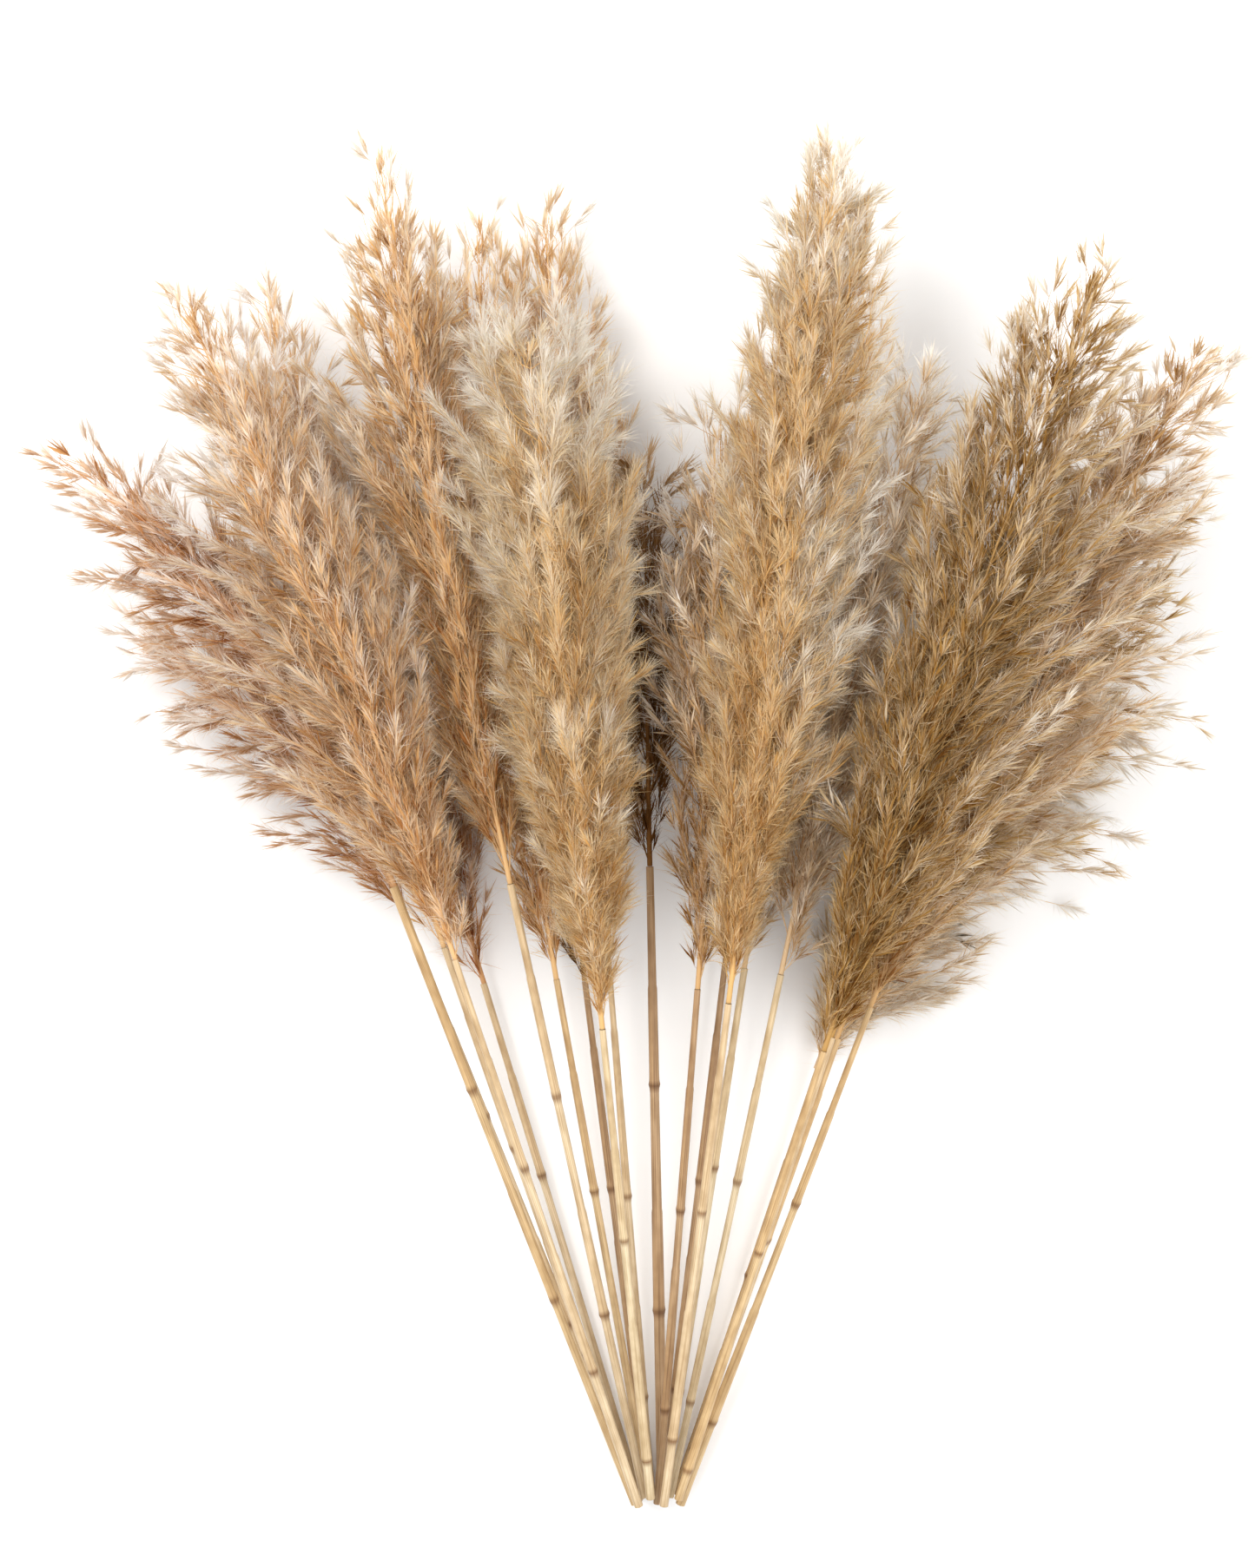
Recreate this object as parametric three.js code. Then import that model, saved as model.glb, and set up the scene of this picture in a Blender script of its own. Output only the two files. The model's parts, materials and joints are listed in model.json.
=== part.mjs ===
// A bunch of dried pampas grass stalks, lying on a flat surface with no vase.
// Millimetres, +Z up. The stalks fan out towards +Y from cut ends that lie close together.
// Each stalk is a thin woody stem and a feathery plume, made here as two closed solids.
import * as THREE from 'three';

// Driving dimensions

const PLUME_DEPTH = 25; // thickness of a plume in a lying bunch, where it is fullest
const LAYER_CLEARANCE = 0.8; // free height between the plumes of one layer and the next
const STEM_CLEARANCE = 0.4; // free space between stems at the cut ends
const JOIN_GAP = 0.3; // gap between the top of a stem and the plume that it carries
const SPREAD_RADIUS = 350; // distance from the cut ends where the layers have spread apart fully
const REACH_RADIUS = 570; // distance from the cut ends of the farthest plume tips
const TIP_DROOP = 0.22; // share of the layers' height that is lost again at the farthest tips
const SETTLE = 3.5; // how far the undermost plumes are pressed flat by the bunch's weight
const CUT_STAGGER = 3; // step between the cut lengths of neighbouring stems
const STEM_TAPER = 0.62; // a stem's diameter under its plume, as a share of the cut end's
const PEDUNCLE = 88; // distance from a plume down to the uppermost joint of its stem
const NODE_SPACING = 92; // distance between the joints of a stem
const NODE_MARGIN = 14; // least distance between the cut end of a stem and a joint
const NODE_HEIGHT = 5; // length of the ring-like swelling at a stem's joint
const NODE_SWELL = 0.35; // how far a joint stands out from the stem all round
const FULLEST = 0.56; // where along most plumes they are fullest, as a share of their length
const STEM_SIDES = 8;
const PLUME_SIDES = 12;
const PLUME_RINGS = 11;
const STEM_ROUGHNESS = 0.6;
const PLUME_ROUGHNESS = 0.95;

const COLOURS = {
  straw: 0xd9bd8b,
  ivory: 0xe2d0ab,
  golden: 0xcfa45f,
  umber: 0x9a7350,
  russet: 0xb98a68,
  blush: 0xcfae92,
  tan: 0xc39c74,
  cream: 0xd9bf9b,
  brown: 0x9c7656,
  rose: 0xc6a792,
  honey: 0xc79d69,
  olive: 0xbd9b69,
  pearl: 0xdccab4,
};

// The layers from the surface up, each with its stalks from left to right.
// turn: the heading of the middle of the layer, in degrees from +Y towards +X.
// gap: the free angle between a plume and its left neighbour, in degrees.
// bend: how far the plume turns between its base and its tip, in degrees, + is towards +X.
// stem, plume: lengths. width: of the plume. stalk: diameter of the stem at its cut end.
// fullest: where along its length the plume is widest, if not at FULLEST.
const LAYERS = [
  {
    name: 'bottom',
    turn: 0.8,
    stalks: [
      { gap: 0, bend: -12, stem: 225, plume: 230, width: 66, stalk: 3.6, colour: 'russet', wood: 'straw' },
      { gap: 0.4, bend: 4, stem: 218, plume: 280, width: 50, stalk: 3.8, colour: 'brown', wood: 'umber' },
      { gap: 5.6, bend: 3, stem: 225, plume: 240, width: 56, stalk: 4.0, colour: 'brown', wood: 'umber' },
      { gap: 1.4, bend: 44, stem: 190, plume: 190, width: 62, stalk: 3.6, colour: 'pearl', wood: 'golden' },
    ],
  },
  {
    name: 'lower',
    turn: -1.2,
    stalks: [
      { gap: 0, bend: -44, stem: 262, plume: 168, width: 49, stalk: 3.2, colour: 'russet', wood: 'straw' },
      { gap: 8.8, bend: -1, stem: 220, plume: 325, width: 63, stalk: 3.8, colour: 'tan', wood: 'straw' },
      { gap: 4.4, bend: 9, stem: 225, plume: 200, width: 50, stalk: 3.4, colour: 'pearl', wood: 'ivory' },
      { gap: 0.4, bend: 36, stem: 205, plume: 220, width: 70, stalk: 3.8, colour: 'rose', wood: 'golden' },
    ],
  },
  {
    name: 'middle',
    turn: -0.4,
    stalks: [
      {
        gap: 0, bend: 7, stem: 245, plume: 285, width: 58, stalk: 3.8, fullest: 0.46,
        colour: 'blush', wood: 'straw',
      },
      { gap: 0.4, bend: 8, stem: 222, plume: 318, width: 58, stalk: 3.6, colour: 'tan', wood: 'golden' },
      { gap: 0.6, bend: 1, stem: 265, plume: 165, width: 50, stalk: 5.0, colour: 'brown', wood: 'umber' },
      { gap: 9.4, bend: 30, stem: 205, plume: 270, width: 74, stalk: 3.8, colour: 'olive', wood: 'straw' },
    ],
  },
  {
    name: 'upper',
    turn: -0.27,
    stalks: [
      {
        gap: 0, bend: -36, stem: 275, plume: 232, width: 48, stalk: 3.4, fullest: 0.36,
        colour: 'russet', wood: 'golden',
      },
      {
        gap: 0.4, bend: 3.5, stem: 264, plume: 306, width: 64, stalk: 3.8, fullest: 0.46,
        colour: 'tan', wood: 'straw',
      },
      { gap: 8.3, bend: -4, stem: 216, plume: 240, width: 42, stalk: 3.6, colour: 'rose', wood: 'umber' },
      { gap: 0.2, bend: 4, stem: 226, plume: 255, width: 47, stalk: 3.4, colour: 'pearl', wood: 'ivory' },
      { gap: 0.2, bend: 15, stem: 222, plume: 306, width: 67, stalk: 4.0, colour: 'rose', wood: 'golden' },
    ],
  },
  {
    name: 'top',
    turn: -0.4,
    stalks: [
      {
        gap: 0, bend: -10, stem: 240, plume: 296, width: 68, stalk: 4.0, fullest: 0.46,
        colour: 'blush', wood: 'straw',
      },
      {
        gap: 0.9, bend: -1, stem: 201, plume: 288, width: 90, stalk: 4.2, fullest: 0.75,
        colour: 'cream', wood: 'ivory',
      },
      { gap: 1.5, bend: 1, stem: 212, plume: 354, width: 71, stalk: 4.0, colour: 'honey', wood: 'straw' },
      { gap: 0.4, bend: 5, stem: 200, plume: 346, width: 67, stalk: 4.0, colour: 'olive', wood: 'golden' },
    ],
  },
];

const radians = THREE.MathUtils.degToRad;

// The height between layers grows from the stacked stems to the fullest plumes, then droops.
const thickestStem = (layer) => Math.max(...layer.stalks.map((stalk) => stalk.stalk));
const stemPitch = Math.max(...LAYERS.map(thickestStem)) + 2 * NODE_SWELL + STEM_CLEARANCE;
const plumePitch = PLUME_DEPTH + LAYER_CLEARANCE;

function spread(radius) {
  const share = Math.min(radius / SPREAD_RADIUS, 1);
  return Math.sin((share * Math.PI) / 2);
}

function droop(radius) {
  return 1 - TIP_DROOP * THREE.MathUtils.smoothstep(radius, SPREAD_RADIUS, REACH_RADIUS);
}

function layerPitch(radius) {
  return THREE.MathUtils.lerp(stemPitch, plumePitch * droop(radius), spread(radius));
}

// Height of the middle of a layer above the surface
function layerHeight(level, radius) {
  const lowestStem = thickestStem(LAYERS[0]) / 2;
  const lowestPlume = (PLUME_DEPTH / 2 - SETTLE) * droop(radius);
  const lowest = THREE.MathUtils.lerp(lowestStem, lowestPlume, spread(radius));
  return lowest + level * layerPitch(radius);
}

// The angle that a plume takes up on either side of its stem's heading
function halfSector(stalk) {
  return Math.atan2(stalk.width / 2, stalk.stem + (stalk.fullest ?? FULLEST) * stalk.plume);
}

// Gives each stalk of a layer its heading and the place of its cut end.
function fanOut(layer) {
  let heading = 0;
  let across = 0;
  const stalks = layer.stalks.map((stalk, index) => {
    const left = layer.stalks[index - 1];
    if (left) {
      heading += halfSector(left) + radians(stalk.gap) + halfSector(stalk);
      across += (left.stalk + stalk.stalk) / 2 + 2 * NODE_SWELL + STEM_CLEARANCE;
    }
    return { ...stalk, heading, across, cut: (index % 2) * CUT_STAGGER };
  });
  const turn = radians(layer.turn) - heading / 2;
  return stalks.map((stalk) => ({
    ...stalk,
    heading: stalk.heading + turn,
    across: stalk.across - across / 2,
  }));
}

// Point and heading at a distance along a stalk: a straight stem, then a plume bent as an arc.
function along(stalk, distance) {
  const straight = Math.min(distance, stalk.stem);
  const x = stalk.across + straight * Math.sin(stalk.heading);
  const y = straight * Math.cos(stalk.heading);
  const past = Math.max(distance - stalk.stem, 0);
  const turned = (radians(stalk.bend) * past) / stalk.plume;
  const chord = turned === 0 ? past : (past * Math.sin(turned / 2)) / (turned / 2);
  const chordHeading = stalk.heading + turned / 2;
  return {
    x: x + chord * Math.sin(chordHeading),
    y: y + chord * Math.cos(chordHeading),
    heading: stalk.heading + turned,
  };
}

// Moves a lathe solid, turned about its y axis, onto a stalk. place gives each point's position.
function bendLathe(profile, sides, place) {
  const geometry = new THREE.LatheGeometry(profile, sides);
  const positions = geometry.attributes.position;
  const point = new THREE.Vector3();
  for (let i = 0; i < positions.count; i += 1) {
    point.fromBufferAttribute(positions, i);
    place(point);
    positions.setXYZ(i, point.x, point.y, point.z);
  }
  geometry.computeVertexNormals();
  return geometry;
}

// How far along a stem its joints are, counted down from the plume
function jointsOf(stalk) {
  const joints = [];
  for (let at = stalk.stem - PEDUNCLE; at > stalk.cut + NODE_MARGIN; at -= NODE_SPACING) {
    joints.unshift(at);
  }
  return joints;
}

// A tapered stem with a ring-like swelling at each joint
function stemGeometry(stalk, level) {
  const radiusAt = (distance) =>
    (stalk.stalk / 2) * THREE.MathUtils.lerp(1, STEM_TAPER, distance / stalk.stem);
  const profile = [new THREE.Vector2(0, stalk.cut)];
  profile.push(new THREE.Vector2(radiusAt(stalk.cut), stalk.cut));
  for (const joint of jointsOf(stalk)) {
    const radius = radiusAt(joint);
    profile.push(new THREE.Vector2(radius, joint - NODE_HEIGHT / 2));
    profile.push(new THREE.Vector2(radius + NODE_SWELL, joint));
    profile.push(new THREE.Vector2(radius, joint + NODE_HEIGHT / 2));
  }
  profile.push(new THREE.Vector2(radiusAt(stalk.stem), stalk.stem));
  profile.push(new THREE.Vector2(0, stalk.stem));
  return bendLathe(profile, STEM_SIDES, (point) => {
    const { x, y, heading } = along(stalk, point.y);
    const height = layerHeight(level, Math.hypot(x, y));
    point.set(x + point.x * Math.cos(heading), y - point.x * Math.sin(heading), height + point.z);
  });
}

// A plume's outline from base to tip: share of its length, share of its half width
function plumeOutline(fullest) {
  const beyond = 1 - fullest;
  return new THREE.SplineCurve([
    new THREE.Vector2(0, 0.12),
    new THREE.Vector2(fullest * 0.4, 0.58),
    new THREE.Vector2(fullest, 1),
    new THREE.Vector2(fullest + beyond * 0.45, 0.84),
    new THREE.Vector2(fullest + beyond * 0.8, 0.46),
    new THREE.Vector2(1, 0.16),
  ]);
}

// A flattened, feather-shaped plume that follows the height of its layer
function plumeGeometry(stalk, level) {
  const profile = [new THREE.Vector2(0, 0)];
  const outline = plumeOutline(stalk.fullest ?? FULLEST);
  for (const { x: share, y: fullness } of outline.getPoints(PLUME_RINGS)) {
    profile.push(new THREE.Vector2(fullness, share));
  }
  profile.push(new THREE.Vector2(0, 1));
  const length = stalk.plume - JOIN_GAP;
  return bendLathe(profile, PLUME_SIDES, (point) => {
    const middle = along(stalk, stalk.stem + JOIN_GAP + point.y * length);
    const aside = (point.x * stalk.width) / 2;
    const x = middle.x + aside * Math.cos(middle.heading);
    const y = middle.y - aside * Math.sin(middle.heading);
    const radius = Math.hypot(x, y);
    const halfDepth = (layerPitch(radius) - LAYER_CLEARANCE) / 2;
    const z = layerHeight(level, radius) + point.z * halfDepth;
    point.set(x, y, Math.max(z, 0));
  });
}

function addPiece(parent, name, geometry, colour, roughness) {
  const material = new THREE.MeshStandardMaterial({ color: COLOURS[colour], roughness, metalness: 0 });
  const mesh = new THREE.Mesh(geometry, material);
  mesh.name = name;
  parent.add(mesh);
}

// Moves the bunch so that the middle of its underside is at the origin.
function centreOnSurface(bunch) {
  const box = new THREE.Box3().setFromObject(bunch);
  const middle = box.getCenter(new THREE.Vector3());
  bunch.position.set(-middle.x, -middle.y, -box.min.z);
}

const bunch = new THREE.Group();
LAYERS.forEach((layer, level) => {
  fanOut(layer).forEach((stalk, index) => {
    const place = `${layer.name}_${index + 1}`;
    addPiece(bunch, `stem_${place}`, stemGeometry(stalk, level), stalk.wood, STEM_ROUGHNESS);
    addPiece(bunch, `plume_${place}`, plumeGeometry(stalk, level), stalk.colour, PLUME_ROUGHNESS);
  });
});
centreOnSurface(bunch);

export default bunch;
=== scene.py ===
"""A bunch of dried pampas grass, lying on its side, seen from above."""

import json
import math

import bpy
import numpy as np
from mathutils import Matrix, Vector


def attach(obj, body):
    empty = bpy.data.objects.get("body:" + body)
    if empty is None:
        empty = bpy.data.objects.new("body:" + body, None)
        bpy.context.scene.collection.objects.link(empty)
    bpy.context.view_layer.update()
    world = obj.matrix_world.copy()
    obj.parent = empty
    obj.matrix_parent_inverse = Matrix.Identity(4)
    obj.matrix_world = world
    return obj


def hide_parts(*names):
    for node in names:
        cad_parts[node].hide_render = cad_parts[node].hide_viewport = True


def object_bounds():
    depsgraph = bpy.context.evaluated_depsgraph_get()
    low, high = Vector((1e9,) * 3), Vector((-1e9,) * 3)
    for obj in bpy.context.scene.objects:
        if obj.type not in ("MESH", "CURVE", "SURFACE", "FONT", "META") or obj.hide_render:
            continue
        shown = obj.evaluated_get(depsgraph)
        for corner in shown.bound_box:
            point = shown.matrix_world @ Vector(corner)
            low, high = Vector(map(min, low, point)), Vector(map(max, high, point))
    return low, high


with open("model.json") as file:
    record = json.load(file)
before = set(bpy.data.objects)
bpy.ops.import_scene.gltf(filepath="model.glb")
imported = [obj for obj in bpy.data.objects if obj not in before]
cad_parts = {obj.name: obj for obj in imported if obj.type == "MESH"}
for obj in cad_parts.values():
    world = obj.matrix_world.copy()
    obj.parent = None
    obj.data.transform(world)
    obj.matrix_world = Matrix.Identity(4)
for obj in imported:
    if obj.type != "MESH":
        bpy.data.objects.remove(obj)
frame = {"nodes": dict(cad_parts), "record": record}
cad_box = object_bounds()

# Driving values. Sizes are in metres, angles in radians. A pair is a range, or the values at a
# piece's foot and tip.

MM = 0.001
LOWEST = 0.4 * MM  # the lowest that any hair lies above the surface
PLUME_SEED = 4100
STEM_SEED = 7300

# Main branches. Their starts, ends and reaches are shares of the plume's length, and their ways out
# are shares of its outline. The outermost ones grow on the side that faces out of the bunch.
WHORL_STEP = 13 * MM  # distance between the whorls of branches on a plume's axis
BRANCHES_PER_WHORL = (4.2, 7, 6, 1.4)  # in a plume of usual width, at the shares up it given below
BRANCHING_CHANGES_AT = (0, 0.5, 0.75, 1)
USUAL_HALF_WIDTH = 28 * MM
FULLNESS_POWER = 0.7  # how the number of branches grows with the plume's width
TOP_SHARE = 0.965  # how far up a plume its axis and branches end; the spikelets stand past them
LAST_WHORL = TOP_SHARE - 0.04
LAST_START = TOP_SHARE - 0.02
START_SCATTER = 0.012
TURN_SCATTER = 0.35
SIDEWAYS_TURN = 0.15  # brings more branches to the sides of the flattened plume
BRANCH_REACH = (0.30, 0.16)  # how far a branch climbs, at the foot and the tip of the plume
REACH_SCATTER = (0.65, 1.15)
OUTERMOST_REACH_LOSS = 0.25
SHORT_BRANCHES = 0.4  # share of the branches that stay short and fill the plume around its axis
SHORT_REACH = (0.35, 0.65)  # as a share of what they would reach
SHORT_WAY_OUT = 0.75
LONG_BRANCHES = 0.45  # share of the outermost branches that stand out sideways as tassels
LONG_START_BELOW = 0.6
LONG_WAY_OUT = 1.15
LONG_WAY_OUT_SCATTER = 0.35
OUTERMOST_LONG_GAIN = 0.25
LONG_SLIMNESS = 0.6  # how slim a tassel is beside another branch
INNERMOST_WAY_OUT = 0.2
WAY_OUT_POWER = 0.7
SHAG = (0.84, 1.08)  # how unevenly branches end at the plume's outline
OUTERMOST_SHAG_GAIN = 0.2
FLARE = (0.4, 0.85)  # power of the way out along a branch: a low one leaves the axis early
OUTERMOST_FLARE_GAIN = 0.5
BRANCH_WAVE = 2.5 * MM
BRANCH_TWIST = 0.15
FLATTENING = 0.75  # height of the branches' spread, as a share of the CAD solid's
TUFT_SIDE = 0.3  # cosine of the widest angle from a plume's side at which a pale tuft grows
TUFT_SHARE = 0.7  # share of the branches there that are in the tuft

# Twigs. Places on a branch are shares of its length.
TWIG_STEP = 9.5 * MM  # distance between the twigs on a branch
TWIG_LENGTH = (24 * MM, 12 * MM)  # at the foot and at the tip of a branch
TWIG_LENGTH_SCATTER = (0.7, 1.25)
FIRST_TWIG = 0.08
LOWEST_TWIG = 0.04
TWIG_PLACE_SCATTER = 0.03
NEARBY = 0.04  # half the stretch of a branch that gives a twig its way
SLENDER_BELOW = 0.7  # share of the greatest width under which a plume's twigs shrink
TWIG_STRAY = (0.1, 0.24)  # how far twigs stray from their branch, in slender and in full stretches
TIP_STRAY = 0.6  # as a share of the stray at the plume's foot
STRAY_AXES = (1, 1, 0.5)
SLENDER_TWIG = 0.45  # length as a share of the usual
TIP_TWIG = 0.85
SLIM_TWIG = 0.6

# Radii and sides of the branches, the twigs and a plume's axis
BRANCH_RADIUS = 0.28 * MM
BRANCH_TAPER = 0.35
BRANCH_RINGS = 6
TWIG_RADII = (0.18 * MM, 0.09 * MM)
BRANCH_SIDES = 3
AXIS_RADII = (1.1 * MM, 0.2 * MM)
AXIS_RINGS = 30
AXIS_SIDES = 6

# Spikelets, each on a short stalk, with husks and hairs
SPIKELET_STEP = 6.5 * MM  # distance between the spikelets on a twig
FIRST_SPIKELET = 0.25  # share of the twig's length
BARE_TIP_FROM = 0.7  # share of the plume's length where its tip starts to lack spikelets
BARE_TIP_FADE = 0.22
STALK_LENGTH = (1 * MM, 3.5 * MM)
STALK_WIDTH = 0.22 * MM
STALK_OVERLAP = 1 * MM
STALK_TURN = 0.3
OUTWARD_SCATTER = 0.5 * MM
HEADING_TOWARDS_STALK = 0.5
HEADING_OUTWARD = 0.08
BLADES_FACE_OUT = 0.6
HUSKS_PER_SPIKELET = 5
HUSK_LENGTH = (7.5 * MM, 13 * MM)
HUSK_WIDTH = (0.6 * MM, 1.1 * MM)
HUSK_ROOTS = (-1 * MM, 2.5 * MM)  # along the spikelet
HUSK_CURL = 0.06
BARE_TIP_WIDENING = 0.9  # husks are wider where the plume's tip is bare
HAIR_LENGTH = (7 * MM, 13 * MM)
HAIR_WIDTH = (0.14 * MM, 0.26 * MM)
HAIR_ROOTS = (-1.5 * MM, 4 * MM)
HAIR_SPREAD = 0.42
HAIR_CURL = 0.12
HAIR_WIDEST = 0.3
ROUNDNESS = 0.6  # how far the blades' normals turn out from the plume, so that it looks full
OUTWARD_LEAN = 0.25  # how far outward leans towards the plume's tip

# Tones: places on a palette from 0, the darkest, to 1
# Painted shade inside a plume: the next three set how much lower and darker a spikelet's tone is the
# nearer it sits to the plume's axis
PAINTED_INNER_SHADE = 0.46
OUTERMOST_COUNTED = 1.2  # share of the outline
NARROWEST_OUTLINE = 0.2
TONE_UPWARD = 0.42
TONE_AT_TIP = 0.2
TONE_LOSS = 0.06
BRANCH_TONE_SCATTER = 0.09
TWIG_TONE_SCATTER = 0.09
HUSK_TONE_SCATTER = 0.12
HAIR_TONE_GAIN = 0.1
HAIR_TONE_SCATTER = 0.1

# Stems
SKIN_FROM = 0.8 * MM  # CAD vertices farther than this from the centre line are on the stem's skin
SWOLLEN_BY = 0.2 * MM  # and those that stand out by this much are on a joint
JOINTS_APART = 20 * MM
STEM_RINGS = 150
STEM_SIDES = 12
JOINT_SWELL = 0.35 * MM
JOINT_HALF_LENGTH = 1.6 * MM
SHEATH_LENGTH = (38 * MM, 70 * MM)
SHEATH_THICKNESS = 0.22 * MM

# Centre lines and UVs
PLUME_SAMPLES = 80
STEM_SAMPLES = 60
CURVE_DEGREE = 3
UV_NAME = "OFBake"
TONE_WIDTH = 0.006  # how much of the tone scale one blade spans
FIRST_U, LAST_U = 0.02, 0.98  # u around a tube
FIRST_V, LAST_V = 0.01, 0.99  # v at the foot and at the tip of a blade or tube
NEARLY_UP = np.array([0.1, 0.2, 1.0])  # along no branch or stem
GOLDEN_ANGLE = math.radians(137.5)

# Plume colours, darkest to lightest, then the silky hairs' colour (linear RGB). The darker colours also
# give the painted shade inside a plume.
PALETTES = {
    "plume_russet": ((0.36, 0.115, 0.03), (0.66, 0.34, 0.13), (0.85, 0.64, 0.45), (0.95, 0.87, 0.79)),
    "plume_blush": ((0.43, 0.17, 0.042), (0.78, 0.48, 0.205), (0.92, 0.77, 0.57), (0.97, 0.91, 0.85)),
    "plume_tan": ((0.44, 0.18, 0.05), (0.78, 0.485, 0.205), (0.92, 0.75, 0.51), (0.97, 0.91, 0.83)),
    "plume_cream": ((0.44, 0.20, 0.045), (0.75, 0.465, 0.17), (0.87, 0.71, 0.45), (0.95, 0.90, 0.81)),
    "plume_brown": ((0.13, 0.048, 0.008), (0.21, 0.09, 0.02), (0.35, 0.18, 0.055), (0.64, 0.45, 0.27)),
    "plume_rose": ((0.30, 0.125, 0.03), (0.62, 0.37, 0.145), (0.86, 0.69, 0.47), (0.96, 0.90, 0.82)),
    "plume_honey": ((0.38, 0.165, 0.035), (0.73, 0.45, 0.16), (0.89, 0.71, 0.43), (0.96, 0.91, 0.82)),
    "plume_olive": ((0.22, 0.085, 0.012), (0.47, 0.26, 0.065), (0.79, 0.60, 0.34), (0.96, 0.90, 0.80)),
    "plume_pearl": ((0.38, 0.19, 0.065), (0.76, 0.54, 0.30), (0.93, 0.82, 0.65), (0.98, 0.94, 0.88)),
}

# Where on the tone scale the colours of husks, hairs and branches stand
HUSK_STOPS_AT = (0.0, 0.38, 0.75, 1.0)
SILK_STOPS_AT = (0.0, 0.48, 0.92, 1.0)
BRANCH_STOPS_AT = (0.0, 0.5, 1.0)
PALEST_SILK_POWER = 0.7  # brings the palest hairs nearer to white
BRANCH_PALER = 0.35  # how far the middle of a branch goes to the light colour

# How each kind of blade takes light, and what its colour is multiplied by at its root and its tip. The
# darker root of husks and hairs is painted shade where the blades crowd at the spikelet, and the paler
# tip is the fibre's own colour.
HUSK_LOOK = {"translucency": 0.46, "roughness": 0.6, "root": (0.84, 0.74, 0.62), "tip": (1.0, 1.04, 1.1)}
SILK_LOOK = {"translucency": 0.5, "roughness": 0.45, "root": (0.85, 0.8, 0.75), "tip": (1.0, 1.0, 1.0)}
BRANCH_LOOK = {"translucency": 0.1, "roughness": 0.6, "root": (0.9, 0.85, 0.8), "tip": (0.9, 0.85, 0.8)}
WHITE = (1, 1, 1)
ROOT_SHADE_UP_TO = 0.45  # share of a blade's length that the painted shade at its root reaches
FIBRE_SPECULAR = 0.12

# How full each kind of plume is: how far its branches stand out, as a share of the CAD solid's width,
# the hairs for each spikelet, the spread of its husks and their width as a share of the usual, and the
# share of its spikelets that the tip lacks
STYLES = {
    "plume_russet": {"body": 0.90, "hairs": 20, "spread": 0.15, "husk": 1.0, "sparse_tip": 0.7},
    "plume_blush": {"body": 0.90, "hairs": 24, "spread": 0.18, "husk": 0.9, "sparse_tip": 0.7},
    "plume_tan": {"body": 0.92, "hairs": 20, "spread": 0.16, "husk": 1.0, "sparse_tip": 0.78},
    "plume_cream": {"body": 0.84, "hairs": 42, "spread": 0.27, "husk": 0.6, "sparse_tip": 0.1},
    "plume_brown": {"body": 0.86, "hairs": 15, "spread": 0.18, "husk": 0.95, "sparse_tip": 0.3},
    "plume_rose": {"body": 0.98, "hairs": 20, "spread": 0.20, "husk": 0.95, "sparse_tip": 0.55},
    "plume_honey": {"body": 0.86, "hairs": 36, "spread": 0.23, "husk": 0.7, "sparse_tip": 0.35},
    "plume_olive": {"body": 1.08, "hairs": 19, "spread": 0.18, "husk": 1.0, "sparse_tip": 0.55},
    "plume_pearl": {"body": 0.90, "hairs": 25, "spread": 0.24, "husk": 0.8, "sparse_tip": 0.3},
}

# Paler tufts in a plume: the side they are on (+1 right), the stretch of the plume that they end in,
# how much paler they are, and how far they stand out and how crowded they are, as shares of the usual
PALE_TUFTS = {
    "top_2": {"side": 1, "stretch": (0.8, 1.0), "paler": 0.3, "reach": 1.1, "crowd": 1},
    "top_3": {"side": 1, "stretch": (0.4, 0.58), "paler": 0.36, "reach": 1.05, "crowd": 1},
    "top_4": {"side": 1, "stretch": (0.0, 0.16), "paler": 0.35, "reach": 1.4, "crowd": 1},
    "bottom_4": {"side": 1, "stretch": (0.0, 0.42), "paler": 0.0, "reach": 1.8, "crowd": 3.2},
}

# Stem colours, dark and light, and the look of their fibres, weathered patches and joints. Noise
# scales are around and along the stem, and places on it are shares of its length.
STEM_COLOURS = {
    "stem_straw": ((0.44, 0.31, 0.17), (0.76, 0.62, 0.42)),
    "stem_ivory": ((0.46, 0.35, 0.20), (0.76, 0.64, 0.44)),
    "stem_golden": ((0.40, 0.26, 0.12), (0.71, 0.53, 0.30)),
    "stem_umber": ((0.25, 0.145, 0.07), (0.54, 0.37, 0.21)),
}
FIBRE_SCALE = (26, 5, 1)
FIBRE_DETAIL = 4.0
FIBRE_STOPS_AT = (0.3, 0.55, 0.75)
FIBRE_PALER = 0.7
FIBRE_BUMP = 0.4
FIBRE_HEIGHT = 0.15 * MM
PATCH_SCALE = (1.5, 14, 1)
PATCH_DETAIL = 3.0
PATCH_STOPS_AT = (0.35, 0.6)
PATCH_SHADE = (0.72, 0.66, 0.58)
CUT_END_SHADE = (0.7, 0.62, 0.52)
JOINT_SHADE = (0.36, 0.24, 0.15)
SHEATH_SHADE = (0.92, 0.86, 0.78)
SHADE_FADE = 0.012
SHEATH_FROM = 0.008
STEM_ROUGHNESS = 0.45
STEM_SPECULAR = 0.4

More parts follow.
